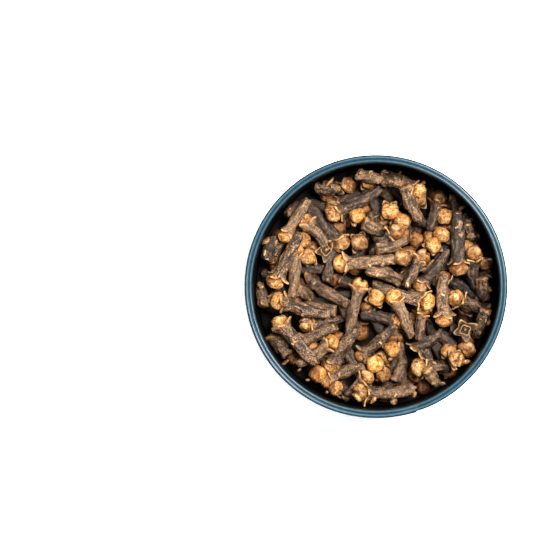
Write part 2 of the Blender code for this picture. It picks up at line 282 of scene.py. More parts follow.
# %% [markdown]
# ## The bowl's form
#
# The bowl is a stamped steel shell. Its edge is rolled outwards into a bead, with a finer ridge inside
# it and a groove between the two. A profile turned by the Screw modifier gives all of it at once.


# %% Turn the bowl
def arc(centre, radius, start, end, steps):
    """Points on an arc in the profile's plane, as (distance from the axis, height)."""
    angles = [math.radians(start + (end - start) * i / steps) for i in range(steps + 1)]
    return [(centre[0] + radius * math.cos(a), centre[1] + radius * math.sin(a)) for a in angles]


def inner_heel(gap=0.0, steps=18):
    """The inside of the rounded heel, from the floor out to the wall."""
    radius = HEEL_RADIUS - WALL
    centre = (INNER_RADIUS - radius, WALL + FOOT_RISE + radius)
    return arc(centre, radius - gap, -90, 0, steps)


def bowl_profile():
    """The bowl's wall all round: over its floor and rim, down its side and under its foot."""
    levels = [HEEL_RADIUS + (BOWL_HEIGHT - HEEL_RADIUS) * i / 6 for i in range(6)]
    wall = [(INNER_RADIUS, height) for height in levels[2:]]
    ridge = arc((INNER_RADIUS + RIDGE_RADIUS, BOWL_HEIGHT - RIDGE_RADIUS), RIDGE_RADIUS, 180, 35, 7)
    groove = [(GROOVE_RADIUS, BOWL_HEIGHT - 0.27 * MM)]
    bead = arc((RIM_RADIUS - BEAD_RADIUS, BOWL_HEIGHT - BEAD_RADIUS), BEAD_RADIUS, 145, -105, 13)
    lip = [(OUTER_RADIUS, BOWL_HEIGHT - 2.6 * BEAD_RADIUS)]
    side = [(OUTER_RADIUS, height) for height in levels[:0:-1]]
    heel = arc((OUTER_RADIUS - HEEL_RADIUS, HEEL_RADIUS), HEEL_RADIUS, 0, -90, 20)
    foot = [(FOOT_RADIUS + 0.3 * MM, 0.0), (FOOT_RADIUS, 0.06 * MM), (FOOT_RADIUS - FOOT_WIDTH / 2, FOOT_RISE)]
    inside = [(0.0, WALL + FOOT_RISE)] + inner_heel() + wall
    return inside + ridge + groove + bead + lip + side + heel + foot + [(0.0, FOOT_RISE)]


def turned(name, profile, steps):
    """A closed plain mesh turned about Z."""
    mesh = bpy.data.meshes.new(name)
    points = [(radius, 0.0, height) for radius, height in profile]
    mesh.from_pydata(points, [(i, i + 1) for i in range(len(points) - 1)], [])
    obj = add_object(name, mesh)
    screw = obj.modifiers.new("turn", "SCREW")
    screw.steps = screw.render_steps = steps
    screw.use_merge_vertices = True
    screw.merge_threshold = 1e-6
    plain_mesh(obj)
    return obj


BOWL_STEPS = 512
bowl = turned("steel_bowl", bowl_profile(), BOWL_STEPS)
print("bowl:", len(bowl.data.polygons), "faces")

# %% [markdown]
# The rolled edge is one strip whose two ends meet at the lower right. One end stands a little
# proud of the other, and the groove is pressed flat beside it. Moving the turned vertices near that
# place gives the joint without a cut.

# %% The rim's joint
PROUD, PROUD_FADE = 0.16 * MM, 3.5 * MM
SUNK, SUNK_FADE = 0.16 * MM, 1.6 * MM
FLATTENED = 7.0 * MM
ROLLED_HEIGHT = 1.6 * MM


def press_joint(mesh):
    """Steps the rolled edge at the joint, and flattens its groove on one side."""
    places = places_of(mesh)
    radius = np.hypot(places[:, 0], places[:, 1])
    past = (np.arctan2(places[:, 1], places[:, 0]) - JOINT_ANGLE) * RIM_RADIUS
    into_rim = radius - INNER_RADIUS
    top = places[:, 2] > BOWL_HEIGHT - ROLLED_HEIGHT
    outer = np.clip((into_rim - RIDGE_RADIUS) / MM, 0, 1) * top
    step = np.where(past < 0, PROUD * np.exp(past / PROUD_FADE), -SUNK * np.exp(-past / SUNK_FADE))
    beside = bell(past, -0.35 * FLATTENED, 0.35 * FLATTENED) * (past < 0.3 * MM)
    in_groove = bell(into_rim, 0.8 * MM, 0.22 * MM) * top
    flap = bell(past, -0.3 * MM, 0.45 * MM) * bell(into_rim, 0.7 * MM, 0.4 * MM) * top
    places[:, :2] *= (1 + step * outer / radius.clip(min=MM))[:, None]
    lift = 0.17 * MM * beside * in_groove + 0.12 * MM * flap
    places[:, 2] = np.minimum(places[:, 2] + lift, BOWL_HEIGHT)
    mesh.vertices.foreach_set("co", places.ravel())
    mesh.update()
    return int((np.abs(step * outer) > 0.02 * MM).sum())


print("joint moved", press_joint(bowl.data), "vertices")

# %% [markdown]
# ## The bowl's finish
#
# The outside and the rim are steel with a tinted, blue-grey lacquer baked on to a satin. Rolling draws
# it out in fine lines round the rim, handling leaves small paler rubs, and painted shade darkens the groove.
# The bead's flank has painted shade and a dull gloss. The inside is near-black, painted shade on the inner wall,
# with a little clove dust on it.

# %% Lacquers
RUB_SIZE = 1.4 * MM
LINE_SIZE = 0.12 * MM
DUST_SIZE = 0.35 * MM


def baked_lacquer(name, roughness, specular, stops):
    """A tinted lacquer with rubs and rolling lines in it, and painted shade in the rim's groove."""
    material, tree, shader = new_material(name, roughness, specular)
    place, from_axis, height = whereabouts(tree)
    ring_place = add_node(tree, "ShaderNodeCombineXYZ", {"X": from_axis, "Z": height})
    rubs = add_node(tree, "ShaderNodeTexNoise", {"Vector": place, "Scale": 1 / RUB_SIZE, "Detail": 4.0})
    lines = add_node(tree, "ShaderNodeTexNoise", {"Vector": ring_place, "Scale": 1 / LINE_SIZE, "Detail": 2.0})
    both = add_node(tree, "ShaderNodeMath", {0: rubs, 1: lines}, operation="ADD")
    tint = add_node(tree, "ShaderNodeMath", {0: both, 1: 0.5}, operation="MULTIPLY")
    paint = add_node(tree, "ShaderNodeValToRGB", {"Fac": tint}, stops=stops)
    # Painted shade: the colour is darkened in the rim's groove, near its top.
    past_groove = add_node(tree, "ShaderNodeMath", {0: from_axis, 1: GROOVE_RADIUS}, operation="SUBTRACT")
    from_groove = add_node(tree, "ShaderNodeMath", {0: past_groove}, operation="ABSOLUTE")
    groove_shade = add_node(tree, "ShaderNodeMapRange", {"Value": from_groove, 1: 0.1 * MM, 2: 0.35 * MM, 3: 0.45})
    near_top = {"Value": height, 1: BOWL_HEIGHT - 0.8 * MM, 2: BOWL_HEIGHT - 0.5 * MM}
    paint = layered(tree, paint, ("MULTIPLY", add_node(tree, "ShaderNodeMapRange", near_top), groove_shade))
    dress(tree, shader, paint, tint, 0.25, 0.05 * MM)
    return material


def shade_coat_with_dust(name, roughness, specular, dust_size, detail, stops):
    """A dark coat with paler dust in it, used as painted shade. The dust comes back too, as a socket."""
    material, tree, shader = new_material(name, roughness, specular)
    place = add_node(tree, "ShaderNodeTexCoord", output="Object")
    dust = add_node(tree, "ShaderNodeTexNoise", {"Vector": place, "Scale": 1 / dust_size, "Detail": detail})
    coat = add_node(tree, "ShaderNodeValToRGB", {"Fac": dust}, stops=stops)
    tree.links.new(coat, shader.inputs["Base Color"])
    return material, tree, shader, dust


# The satin gives a broad, soft highlight on the rim, with the rolling's lines in it.
blue_lacquer = baked_lacquer(
    "blue grey baked lacquer on steel", 0.3, 0.24, [(0.3, "#18333F"), (0.5, "#213F4E"), (0.7, "#2D4F60")],
)
# Its darker colour is painted shade on the bead's flank, and its rough, weak gloss takes the highlight away, so that
# the flank is a dark outline.
flank_shade_lacquer = baked_lacquer(
    "blue grey lacquer scuffed dull on the bead's flank", 0.75, 0.04,
    [(0.3, "#0D1C24"), (0.5, "#12242D"), (0.7, "#1A303B")],
)
# The near-black is painted shade on the inner wall. It gives next to no highlight, and the dust on it a few dull
# specks.
inner_wall_shade, tree, shader, dust = shade_coat_with_dust(
    "black baked lacquer with clove dust", 0.5, 0.12, DUST_SIZE, 3.0,
    [(0.6, "#040404"), (0.72, "#0A0706"), (0.85, "#22170F")],
)
duller = add_node(tree, "ShaderNodeMapRange", {"Value": dust, 1: 0.5, 2: 0.75, 3: 0.4, 4: 0.8})
tree.links.new(duller, shader.inputs["Roughness"])
print("materials:", [m.name for m in (blue_lacquer, flank_shade_lacquer, inner_wall_shade)])

# %% Put the lacquers on
BLUE, BLACK, SHADED_FLANK = range(3)
for lacquer in (blue_lacquer, inner_wall_shade, flank_shade_lacquer):
    bowl.data.materials.append(lacquer)
bowl.data.shade_smooth()
bowl_middle = Vector((0, 0, BOWL_HEIGHT / 2))
for face in bowl.data.polygons:
    centre = face.center
    distance = math.hypot(centre.x, centre.y)
    faces_in = (bowl_middle - centre).dot(face.normal) > 0
    within = distance < INNER_RADIUS + 0.02 * MM and WALL < centre.z < BOWL_HEIGHT - RIDGE_RADIUS
    on_flank = distance > RIM_RADIUS - FLANK_WIDTH
    # The flank's darker lacquer is painted shade, and so is the near-black inside.
    face.material_index = SHADED_FLANK if on_flank else BLACK if faces_in and within else BLUE
add_to_model(bowl, "bowl", "bowl")
print("black faces:", sum(face.material_index == BLACK for face in bowl.data.polygons))

# %% [markdown]
# ## How the cloves are laid
#
# Nobody places a whole heap by hand, so a rule does. Each clove is drawn as a few balls along its axis,
# let down at several spots and tilts, and left where it comes lowest. Chance fills the bowl up to
# a few millimetres below the top. The cloves on top then go near the places that they have
# in the photograph, each over those before it. The CAD model is filled by the same rule with the same
# seed, so this heap and the solid heap agree clove for clove.

# %% The laying rule's values
SEED = 5
CLOVE_COUNT = 120
SIDE_COUNT = 60
TRIES = 48
STANDING_TRIES = 8
STANDING_SHARE = 0.3
CONTACT_SHARE = 0.84
TOP_ROOM = 6.2 * MM
LYING_TILTS = np.radians(np.arange(-30, 31, 7.5))
SIDE_EDGE = -21.5 * MM
RING_COUNT = 80
RING_SHARE = 0.7
RING_ROOM = 2.4 * MM

# The cloves on top, in mm from the bowl's axis, as seen from above. The lying ones
# have their collar's place and their stem's end, and each lies over those before it.
TOP_STANDING = [
    (-3.0, 27.6), (-5.4, 18.2), (2.6, 19.5), (6.3, 16.4), (-4.2, 11.6), (10.6, 12.6), (14.6, 11.2),
    (12.0, 23.2), (17.3, 18.9), (17.3, 14.0), (23.4, 10.9), (26.4, 6.4), (7.0, 8.0), (-17.6, 8.7),
    (0.0, -2.8), (4.9, -17.6), (18.5, -17.3), (19.8, -18.4), (0.3, -19.6), (2.1, -22.8), (-20.2, 12.9),
]
TOP_OPEN = [(22.5, -10.9), (-10.9, 25.2), (-13.1, 8.9)]
TOP_LYING = [
    ("whole", -6.8, 6.5, 4.9, 7.4), ("whole", 19.1, 1.9, 26.9, -1.8), ("whole", 25.6, 7.0, 26.8, -1.0),
    ("whole", -16.8, -9.2, -9.5, -8.6), ("whole", 4.1, 13.6, -2.4, 9.3),
    ("stem", -3.3, 16.8, 2.2, 15.2), ("whole", -9.5, 22.2, -4.1, 25.5),
    ("whole", 23.2, 14.6, 18.4, 22.4), ("whole", 12.6, -21.2, 19.6, -21.4),
    ("stem", 12.9, -21.9, 16.2, -26.2), ("whole", -3.8, -24.0, -9.0, -27.4),
    ("whole", -2.7, -27.6, 5.2, -28.4), ("whole", 3.8, -8.8, -4.0, -6.9), ("stem", 5.5, 2.3, -3.3, 7.4),
    ("whole", 10.8, 5.9, 6.4, 0.6), ("whole", 12.4, -6.7, 10.6, -13.0),
    ("whole", 10.4, 25.4, 1.0, 28.9), ("stem", 8.0, 26.0, 12.4, 16.5),
    ("whole", 16.3, 21.8, 13.7, 14.8), ("whole", 21.1, 7.2, 20.1, 20.0),
    ("whole", -9.5, 19.9, 0.2, 26.4), ("whole", -10.0, 12.9, -18.5, 22.8),
    ("whole", -16.6, 15.7, -12.5, 11.0), ("stem", 0.9, 9.8, 9.2, 11.6), ("whole", 13.1, 1.1, 19.2, 9.3),
    ("whole", 17.5, -6.2, 16.7, 4.0), ("whole", 21.9, -3.2, 28.4, -6.4),
    ("whole", 11.4, -3.2, -0.9, 1.4), ("whole", -4.7, -1.5, -7.8, -12.8),
    ("whole", 5.5, -4.0, 9.6, -13.3), ("open", -16.3, 2.1, -7.3, -5.0),
    ("stem", -10.8, -6.5, -18.6, -6.0), ("whole", -17.7, -14.1, -9.7, -9.7),
    ("whole", -13.3, -14.9, -20.9, -19.6), ("whole", -10.9, -19.3, -4.1, -11.3),
    ("whole", -2.6, -16.4, 5.1, -8.8), ("whole", -10.8, -24.2, -2.8, -20.4),
    ("open", 10.8, -15.6, 16.3, -10.2), ("stem", -20.0, -0.6, -15.4, -2.0),
    ("stem", 5.7, -24.0, 7.3, -18.8), ("whole", -20.6, 7.3, -20.9, -3.0),
]
print("places on top:", len(TOP_STANDING), "standing,", len(TOP_OPEN), "open,", len(TOP_LYING), "lying")


# %% A clove in the rule
@dataclass
class Clove:
    """One clove. Its axis runs from the stem's base to the bud, and its collar carries the lobes."""

    kind: str
    stem: float
    girth: float
    roll: float
    collar: tuple = (0.0, 0.0, 0.0)
    heading: float = 0.0
    tilt: float = 0.0

    def probes(self):
        """Balls along the axis that stand for the clove: places from the collar, radii, reach."""
        places, radii = [], []
        if self.kind in ("whole", "bud"):
            places.append(BUD_RISE * self.girth)
            radii.append(BUD_RADIUS * self.girth)
        if self.kind != "bud":
            shares = np.array([0.0, 0.2, 0.4, 0.6, 0.8, 0.95])
            places.extend(-shares * self.stem)
            radii.extend((STEM_TOP + shares * (STEM_BASE - STEM_TOP)) * self.girth)
        reach = list(radii)
        if self.kind in ("whole", "open"):
            collar = radii.index(STEM_TOP * self.girth)
            reach[collar] = LOBE_REACH * self.girth
        return np.array(places), np.array(radii), np.array(reach)


def fill_limit(distance):
    """The highest that a clove may reach, at a distance from the axis."""
    return FILL_TOP - FILL_DROP * (distance / INNER_RADIUS) ** 2


def bed_height(distance):
    """The bed that the lowest cloves are laid on."""
    return fill_limit(distance) - BED_DEPTH


def core_height(distance):
    """The top of the CAD model's core, which only the upper cloves stand out of."""
    return fill_limit(distance) - CORE_DEPTH


def axis_of(clove):
    """The direction from the stem's base to the bud."""
    flat = math.cos(clove.tilt)
    return np.array([flat * math.cos(clove.heading), flat * math.sin(clove.heading), math.sin(clove.tilt)])


def balls_of(clove):
    """The clove's balls where it lies, as rows of x, y, z and radius."""
    places, radii, _ = clove.probes()
    return np.column_stack([np.array(clove.collar) + np.outer(places, axis_of(clove)), radii])


def draw_clove(kind, rng):
    """A clove of a kind, with a stem and girth as uneven as the real ones."""
    stem = STEM_LENGTH * rng.uniform(0.82, 1.14) * (rng.uniform(0.5, 0.8) if kind == "stem" else 1.0)
    return Clove(kind, stem, rng.uniform(0.88, 1.08), rng.uniform(0, math.pi / 2))


# %% Let a clove down
def settle(clove, laid, spots, headings, tilts, bearing=None, room=0.0):
    """Lets the clove down at each spot and tilt, and keeps the place where it comes lowest.

    laid holds the balls of the cloves below as rows of x, y, z and radius. Only the first
    balls of this clove, as many as bearing says, are held up by them. It has to stay the
    room below the heap's top.
    """
    places, radii, reach = clove.probes()
    along = places[None, None, :] * np.cos(tilts)[None, :, None]
    x = spots[:, 0, None, None] + along * np.cos(headings)[:, None, None]
    y = spots[:, 1, None, None] + along * np.sin(headings)[:, None, None]
    rise = places * np.sin(tilts)[:, None]
    distance = np.hypot(x, y)
    need = bed_height(distance) + radii * CONTACT_SHARE
    if len(laid):
        apart = (x[..., None] - laid[:, 0]) ** 2 + (y[..., None] - laid[:, 1]) ** 2
        touch = ((radii[:, None] + laid[:, 3]) * CONTACT_SHARE) ** 2
        lift = np.where(apart < touch, laid[:, 2] + np.sqrt(np.maximum(touch - apart, 0)), -1.0)
        need = np.maximum(need, lift.max(axis=-1))
    height = (need - rise)[..., :bearing].max(axis=-1)
    top = (height[..., None] + rise + radii).max(axis=-1)
    over = (height[..., None] + rise + radii - fill_limit(distance) + room).max(axis=-1)
    outside = (distance + reach).max(axis=-1) > INNER_RADIUS - WALL_GAP
    cost = np.where(outside | (over > 0), np.inf, (height[..., None] + rise).mean(axis=-1) + 0.2 * top)
    spot, tilt = np.unravel_index(np.argmin(cost), cost.shape)
    if not np.isfinite(cost[spot, tilt]):
        return False
    clove.collar = (*spots[spot], height[spot, tilt])
    clove.heading, clove.tilt = headings[spot], tilts[tilt]
    return True


def any_spots(rng, tries, least=0.0):
    """Spots spread by chance over the bowl's opening. A least above 0 keeps them near its wall."""
    turn = rng.uniform(0, 2 * math.pi, tries)
    distance = INNER_RADIUS * rng.uniform(least, 1, tries) ** 0.42
    return np.column_stack([distance * np.cos(turn), distance * np.sin(turn)])


def near_spots(rng, place, spread, tries):
    """Spots close to a place given in mm."""
    return (np.array(place) + rng.normal(0, spread, (tries, 2))) * MM


# %% Lay them all
def lay_cloves():
    """Lays the cloves one by one.

    Chance fills the bowl, and then the top ones get their own places. Chance fills the hidden
    side after them, and last the gaps along the wall, with broken stems and loose buds.
    """
    rng = np.random.default_rng(SEED)
    cloves, laid = [], np.empty((0, 4))

    def lay(clove, *places, **limits):
        nonlocal laid
        if settle(clove, laid, *places, **limits):
            cloves.append(clove)
            laid = np.vstack([laid, balls_of(clove)])

    def lay_loose(kind, room):
        standing = rng.random() < STANDING_SHARE and kind == "whole"
        clove = draw_clove(kind, rng)
        tries = STANDING_TRIES if standing else TRIES
        spots, headings = any_spots(rng, tries), rng.uniform(0, 2 * math.pi, tries)
        tilts = np.array([math.radians(rng.uniform(38, 82))]) if standing else LYING_TILTS
        side = spots[:, 0] < (RIM_RADIUS if room else SIDE_EDGE)
        if side.any():
            lay(clove, spots[side], headings[side], tilts, bearing=2 if standing else None, room=room)

    for kind in rng.choice(["whole", "stem", "bud"], CLOVE_COUNT, p=[0.84, 0.11, 0.05]):
        lay_loose(str(kind), TOP_ROOM)
    for kind, places, tilts in (("whole", TOP_STANDING, [50, 62, 75]), ("open", TOP_OPEN, [70])):
        for place in places:
            headings = rng.uniform(0, 2 * math.pi, 12)
            spots = near_spots(rng, place, 0.35, 12)
            lay(draw_clove(kind, rng), spots, headings, np.radians(tilts), bearing=2)
    for kind, x, y, end_x, end_y in TOP_LYING:
        clove = draw_clove(kind, rng)
        clove.stem = math.hypot(x - end_x, y - end_y) * MM
        headings = math.atan2(y - end_y, x - end_x) + rng.normal(0, math.radians(3), 12)
        lay(clove, near_spots(rng, (x, y), 0.3, 12), headings, LYING_TILTS[1:])
    for _ in range(SIDE_COUNT):
        lay_loose("whole", 0.0)
    for kind in rng.choice(["stem", "bud"], RING_COUNT, p=[0.7, 0.3]):
        spots = any_spots(rng, TRIES, RING_SHARE)
        headings = np.arctan2(spots[:, 1], spots[:, 0]) + math.pi / 2 + rng.normal(0, 0.3, TRIES)
        lay(draw_clove(str(kind), rng), spots, headings, LYING_TILTS, room=RING_ROOM)
    return cloves


cloves = lay_cloves()
print("laid", len(cloves), {kind: sum(c.kind == kind for c in cloves) for kind in ("whole", "open", "stem", "bud")})

# %% [markdown]
# ## The form of one clove
#
# Every part of a clove is a closed tube of rings, capped at both ends: the stem, each lobe, the bud
# and the disc of an open calyx. What differs is where the rings run. Each point also carries
# what its material needs to know: its place on the clove's own skin, so that the grain turns with
# the clove; how pale it is, as a thin edge or as painted highlight on ridges, lumps and petal lips;
# and how much painted shade it gets in folds, grooves, cracks and hollows.


# %% A body made of rings
def rough(points, grain, offset):
    """Smooth noise at each point, from -1 to 1. grain is its wavelength, one value or one for each axis."""
    scaled = np.asarray(points) / grain + offset
    return np.array([noise.noise(Vector(p)) for p in scaled.reshape(-1, 3)]).reshape(scaled.shape[:-1])


def any_offset(rng):
    """An offset into the noise, so that no two forms are alike."""
    return rng.uniform(-50, 50)


def smooth_step(low, high, value):
    share = np.clip((value - low) / (high - low), 0, 1)
    return share * share * (3 - 2 * share)


ORGANS = {"stem": 0, "lobe": 1, "bud": 2, "end": 3}


class CloveForm:
    """Collects ringed bodies, and makes one mesh of them."""

    def __init__(self):
        self.points, self.faces, self.organs = [], [], []
        self.skin, self.edge, self.fold = [], [], []

    def add(self, rings, organ, skin=None, edge=0.0, fold=0.0, caps=None):
        """Adds a tube of rings, closed round and capped at both ends."""
        rows, columns = rings.shape[:2]
        start = sum(len(p) for p in self.points)
        ends = np.array([rings[0].mean(axis=0), rings[-1].mean(axis=0)] if caps is None else caps)
        skin = rings if skin is None else skin
        self.points.append(np.vstack([rings.reshape(-1, 3), ends]))
        self.skin.append(np.vstack([skin.reshape(-1, 3), skin[0].mean(axis=0), skin[-1].mean(axis=0)]))
        for store, value in ((self.edge, edge), (self.fold, fold)):
            value = np.broadcast_to(value, (rows, columns))
            store.append(np.concatenate([value.ravel(), [value[0].mean(), value[-1].mean()]]))
        first, last = start + rows * columns, start + rows * columns + 1
        for row in range(rows - 1):
            low, high = start + row * columns, start + (row + 1) * columns
            for column in range(columns):
                after = (column + 1) % columns
                self.faces.append((low + column, low + after, high + after, high + column))
                self.organs.append(ORGANS[organ])
        final = start + (rows - 1) * columns
        for column in range(columns):
            after = (column + 1) % columns
            self.faces += [(first, start + after, start + column), (last, final + column, final + after)]
            self.organs += [ORGANS["end" if organ == "stem" else organ]] * 2

    def mesh(self, name):
        mesh = bpy.data.meshes.new(name)
        mesh.from_pydata(np.vstack(self.points).tolist(), [], self.faces)
        set_attribute(mesh, "skin", "FLOAT_VECTOR", np.vstack(self.skin))
        set_attribute(mesh, "edge", "FLOAT", np.concatenate(self.edge))
        set_attribute(mesh, "fold", "FLOAT", np.concatenate(self.fold))
        set_attribute(mesh, "organ", "INT", self.organs, "FACE")
        mesh.shade_smooth()
        return mesh


# %% [markdown]
# The stem is a dried flower base: nearly round at its foot and squarish under the calyx, bent a little,
# with shallow wrinkles along it and a grainy, pitted skin. Painted highlight pales the wrinkles' ridges and painted
# shade darkens their grooves.


# %% The stem
def add_stem(form, stem, rng, broken_top=False, top_rise=0.35 * MM):
    rows, columns = 30, 32
    share = np.linspace(0, 1, rows)[:, None]
    turn = np.linspace(0, 2 * math.pi, columns, endpoint=False)[None, :]
    height = -stem + share * (stem + top_rise) + 0 * turn
    waist = 1 - 0.12 * bell(share, rng.uniform(0.68, 0.84), 0.1)
    belly = 1 + rng.uniform(-0.02, 0.14) * bell(share, 0.5, 0.2)
    radius = (STEM_BASE + (STEM_TOP - STEM_BASE) * share ** 0.85) * waist * belly
    radius = radius * (1 + 0.07 * smooth_step(0.3, 1, share) * np.cos(4 * turn))
    radius = radius * (0.74 + 0.26 * smooth_step(0, 0.07, share)) * (1 + 0.12 * smooth_step(0.84, 1, share))
    if broken_top:
        radius = radius * (0.8 + 0.2 * smooth_step(0, 0.1, 1 - share))
    skin = np.stack([radius * np.cos(turn), radius * np.sin(turn), height], axis=-1)
    offset = any_offset(rng)
    wrinkles = rough(skin, np.array([0.66, 0.66, 3.2]) * MM, offset)
    grain = rough(skin, 0.6 * MM, offset)
    dents = rough(skin, np.array([1.9, 1.9, 2.6]) * MM, offset + 7)
    radius = radius + (0.24 * wrinkles + 0.16 * grain + 0.3 * dents) * MM
    bend, curl = rng.normal(0, 0.8, 2).clip(-1.3, 1.3) * MM, rng.normal(0, 0.35, 2) * MM
    lean, wave = (height / stem) ** 2, np.sin(math.pi * height / stem)
    x = radius * np.cos(turn) + lean * bend[0] + wave * curl[0]
    y = radius * np.sin(turn) + lean * bend[1] + wave * curl[1]
    rings = np.stack([x, y, height], axis=-1)
    rings[..., 2] += 0.25 * MM * rough(skin, 1.1 * MM, -offset) * (1 - smooth_step(0, 0.1, share))
    base = rings[0].mean(axis=0) + np.array([0, 0, 0.3 * MM])
    top = rings[-1].mean(axis=0) + np.array([0, 0, -0.3 * MM if broken_top else 0.1 * MM])
    # Painted highlight on the wrinkles' raised ridges, painted shade in their grooves.
    ridge = np.clip(1.5 * wrinkles + 0.9 * grain - 0.25, 0, 0.8)
    groove = np.clip(-2.4 * wrinkles - 1.2 * grain, 0, 1)
    form.add(rings, "stem", skin, edge=ridge, fold=groove, caps=[base, top])


# %% [markdown]
# A lobe is a thick little leaf, hollowed on the side towards the bud, with painted shade on that hollow face. Its
# thin edges dry paler than the rest, which is what draws the small pale outlines in the picture.


# %% The calyx lobes
def add_lobe(form, quarter, rng, spread=1.0, size=1.0):
    rows, columns = 10, 16
    along = np.linspace(0, 1, rows)
    length = LOBE_LENGTH * size * rng.uniform(0.62, 0.96)
    last_lean = rng.uniform(45, 92) * spread
    lean = np.radians(26 + (last_lean - 26) * along ** 0.7)
    steps = length / (rows - 1) * np.stack([np.sin(lean), np.cos(lean)], axis=-1)
    path = np.array([1.25 * MM, -0.55 * MM]) + np.vstack([[0, 0], np.cumsum(steps[:-1], axis=0)])
    width = LOBE_WIDTH * size * rng.uniform(0.95, 1.1) * (1 - 0.82 * along ** rng.uniform(1.4, 2.4))
    thick = (0.95 - 0.5 * along) * MM
    cup = rng.uniform(0.2, 0.45)
    around = np.linspace(0, 2 * math.pi, columns, endpoint=False)
    across = width[:, None] * np.cos(around)
    inward = thick[:, None] / 2 * np.sin(around) + cup * width[:, None] * np.cos(around) ** 2
    normal = np.stack([-np.cos(lean), np.sin(lean)], axis=-1)
    out = path[:, 0, None] + normal[:, 0, None] * inward
    up = path[:, 1, None] + normal[:, 1, None] * inward
    turn = quarter * math.pi / 2 + rng.normal(0, 0.14)
    skew = rng.normal(0, 0.4) * MM * along[:, None] ** 2
    x = out * math.cos(turn) - (across + skew) * math.sin(turn)
    y = out * math.sin(turn) + (across + skew) * math.cos(turn)
    rings = np.stack([x, y, up + 0 * x], axis=-1)
    rings += 0.1 * MM * rough(rings, 0.7 * MM, any_offset(rng))[..., None]
    side = np.abs(np.cos(around)) ** 8 + 0 * across
    tip = smooth_step(0.7, 1, along)[:, None]
    from_base = smooth_step(0.12, 0.5, along)[:, None]
    # Painted shade on the hollow face towards the bud.
    hollow = np.clip(np.sin(around), 0, 1) ** 0.7 * (1 - side) + 0 * across
    form.add(rings, "lobe", edge=np.clip(side + 0.7 * tip, 0, 1) * from_base, fold=0.8 * hollow * (1 - tip))


# %% [markdown]
# The bud is four petals, rolled over one another into a ball. Each petal is a cap tilted to its own
# side, and whichever lies on top lifts the surface by its thickness, so their edges show as low steps.
# Painted shade makes the petals a deep orange towards the calyx and in their creases, cracks and dips, and painted
# highlight makes the crown, the petal lips and the lumps pale. On a few buds the crown has cracked open.


# %% The bud
def add_bud(form, rng, cracked=False):
    rows, columns = 26, 36
    polar = np.linspace(0.06, 0.94, rows)[:, None] * math.pi
    turn = np.linspace(0, 2 * math.pi, columns, endpoint=False)[None, :]
    level = -np.cos(polar) + 0 * turn
    way = np.stack([np.sin(polar) * np.cos(turn), np.sin(polar) * np.sin(turn), level], axis=-1)
    lift, crease, lip = (np.zeros(way.shape[:2]) for _ in range(3))
    wander = 0.12 * rough(way, 0.7, any_offset(rng))
    for layer, petal in enumerate(rng.permutation(4)):
        side = petal * math.pi / 2 + math.pi / 4 + rng.normal(0, 0.2)
        tilt = math.radians(rng.uniform(40, 64))
        middle = np.array([math.sin(tilt) * math.cos(side), math.sin(tilt) * math.sin(side), math.cos(tilt)])
        within = way @ middle - math.cos(math.radians(rng.uniform(50, 70))) + wander
        height = (0.05 + 0.08 * layer) * MM * smooth_step(-0.02, 0.1, within)
        on_top = height > lift
        near = bell(within, -0.04, 0.06)
        crease = np.where(on_top, np.maximum(0.15 * crease, near), np.maximum(crease, near))
        lip = np.where(on_top, bell(within, 0.1, 0.07), lip)
        lift = np.maximum(lift, height)
    lumps = rough(way, 0.75, any_offset(rng))
    mottle = rough(way, 0.4, any_offset(rng))
    crumple = 1 - 3.2 * np.abs(rough(way, 0.62, any_offset(rng)))
    square = 1 + 0.035 * np.cos(4 * turn) * np.sin(polar) ** 2
    radius = BUD_RADIUS * (0.91 + 0.09 * lumps + 0.05 * mottle + 0.05 * crumple) * square + lift
    gap = 0.0 * level
    if cracked:
        line = rng.uniform(0, math.pi)
        over = way[..., 0] * math.cos(line) + way[..., 1] * math.sin(line)
        gap = smooth_step(0.34, 0.12, np.abs(over + 0.12 * mottle)) * smooth_step(0.35, 0.75, level)
        radius = radius - 0.75 * MM * gap
    flat = np.array([1, 1, rng.uniform(0.84, 0.98)])
    rings = way * radius[..., None] * flat + np.array([0, 0, BUD_RISE])
    # Painted shade towards the calyx, in the petal creases, the cracks and the dips; painted highlight on the petal
    # lips, the lumps and the crumpled ridges.
    low = smooth_step(0.35, -0.55, level)
    fold = np.clip(0.7 * crease + 0.9 * low + gap - 0.7 * mottle - 0.4 * crumple + 0.1, 0, 1)
    pale = np.clip(0.25 * lip + 0.5 * lumps + 0.4 * np.clip(crumple, 0, 1) ** 3 - 0.05, 0, 1)
    form.add(rings, "bud", edge=pale * (1 - low) * (1 - gap), fold=fold)


# %% [markdown]
# Where the bud has fallen off, the calyx is open: a low square ring stands round a pit with the stub
# of the style in the middle, and the lobes lie flat around it like a star.


# %% The open disc
def add_disc(form, rng):
    columns = 32
    turn = np.linspace(0, 2 * math.pi, columns, endpoint=False)
    outline = [
        (0.9, -0.7), (1.6, -0.4), (1.62, 0.0), (1.5, 0.2), (1.36, 0.45), (1.24, 0.56), (1.12, 0.45),
        (1.02, 0.15), (0.85, -0.2), (0.5, -0.28), (0.34, -0.05), (0.3, 0.25), (0.2, 0.42), (0.1, 0.46),
    ]
    # Painted highlight on the ring's crest and the style's tip; painted shade in the pit and a little on the ring's
    # outer side.
    pale = [0, 0, 0, 0.1, 0.5, 1, 0.5, 0, 0, 0, 0.1, 0.4, 1, 1]
    hollow = [0, 0, 0.4, 0.4, 0, 0, 0, 0.8, 1, 1, 0.8, 0.2, 0, 0]
    reach, height = np.array(outline).T * MM
    square = 1 + 0.13 * np.cos(4 * turn)
    x = reach[:, None] * square * np.cos(turn)
    y = reach[:, None] * square * np.sin(turn)
    rings = np.stack([x, y, height[:, None] + 0 * x], axis=-1)
    rings += 0.14 * MM * rough(rings, 0.6 * MM, any_offset(rng))[..., None]
    form.add(rings, "lobe", edge=np.array(pale)[:, None], fold=np.array(hollow)[:, None])


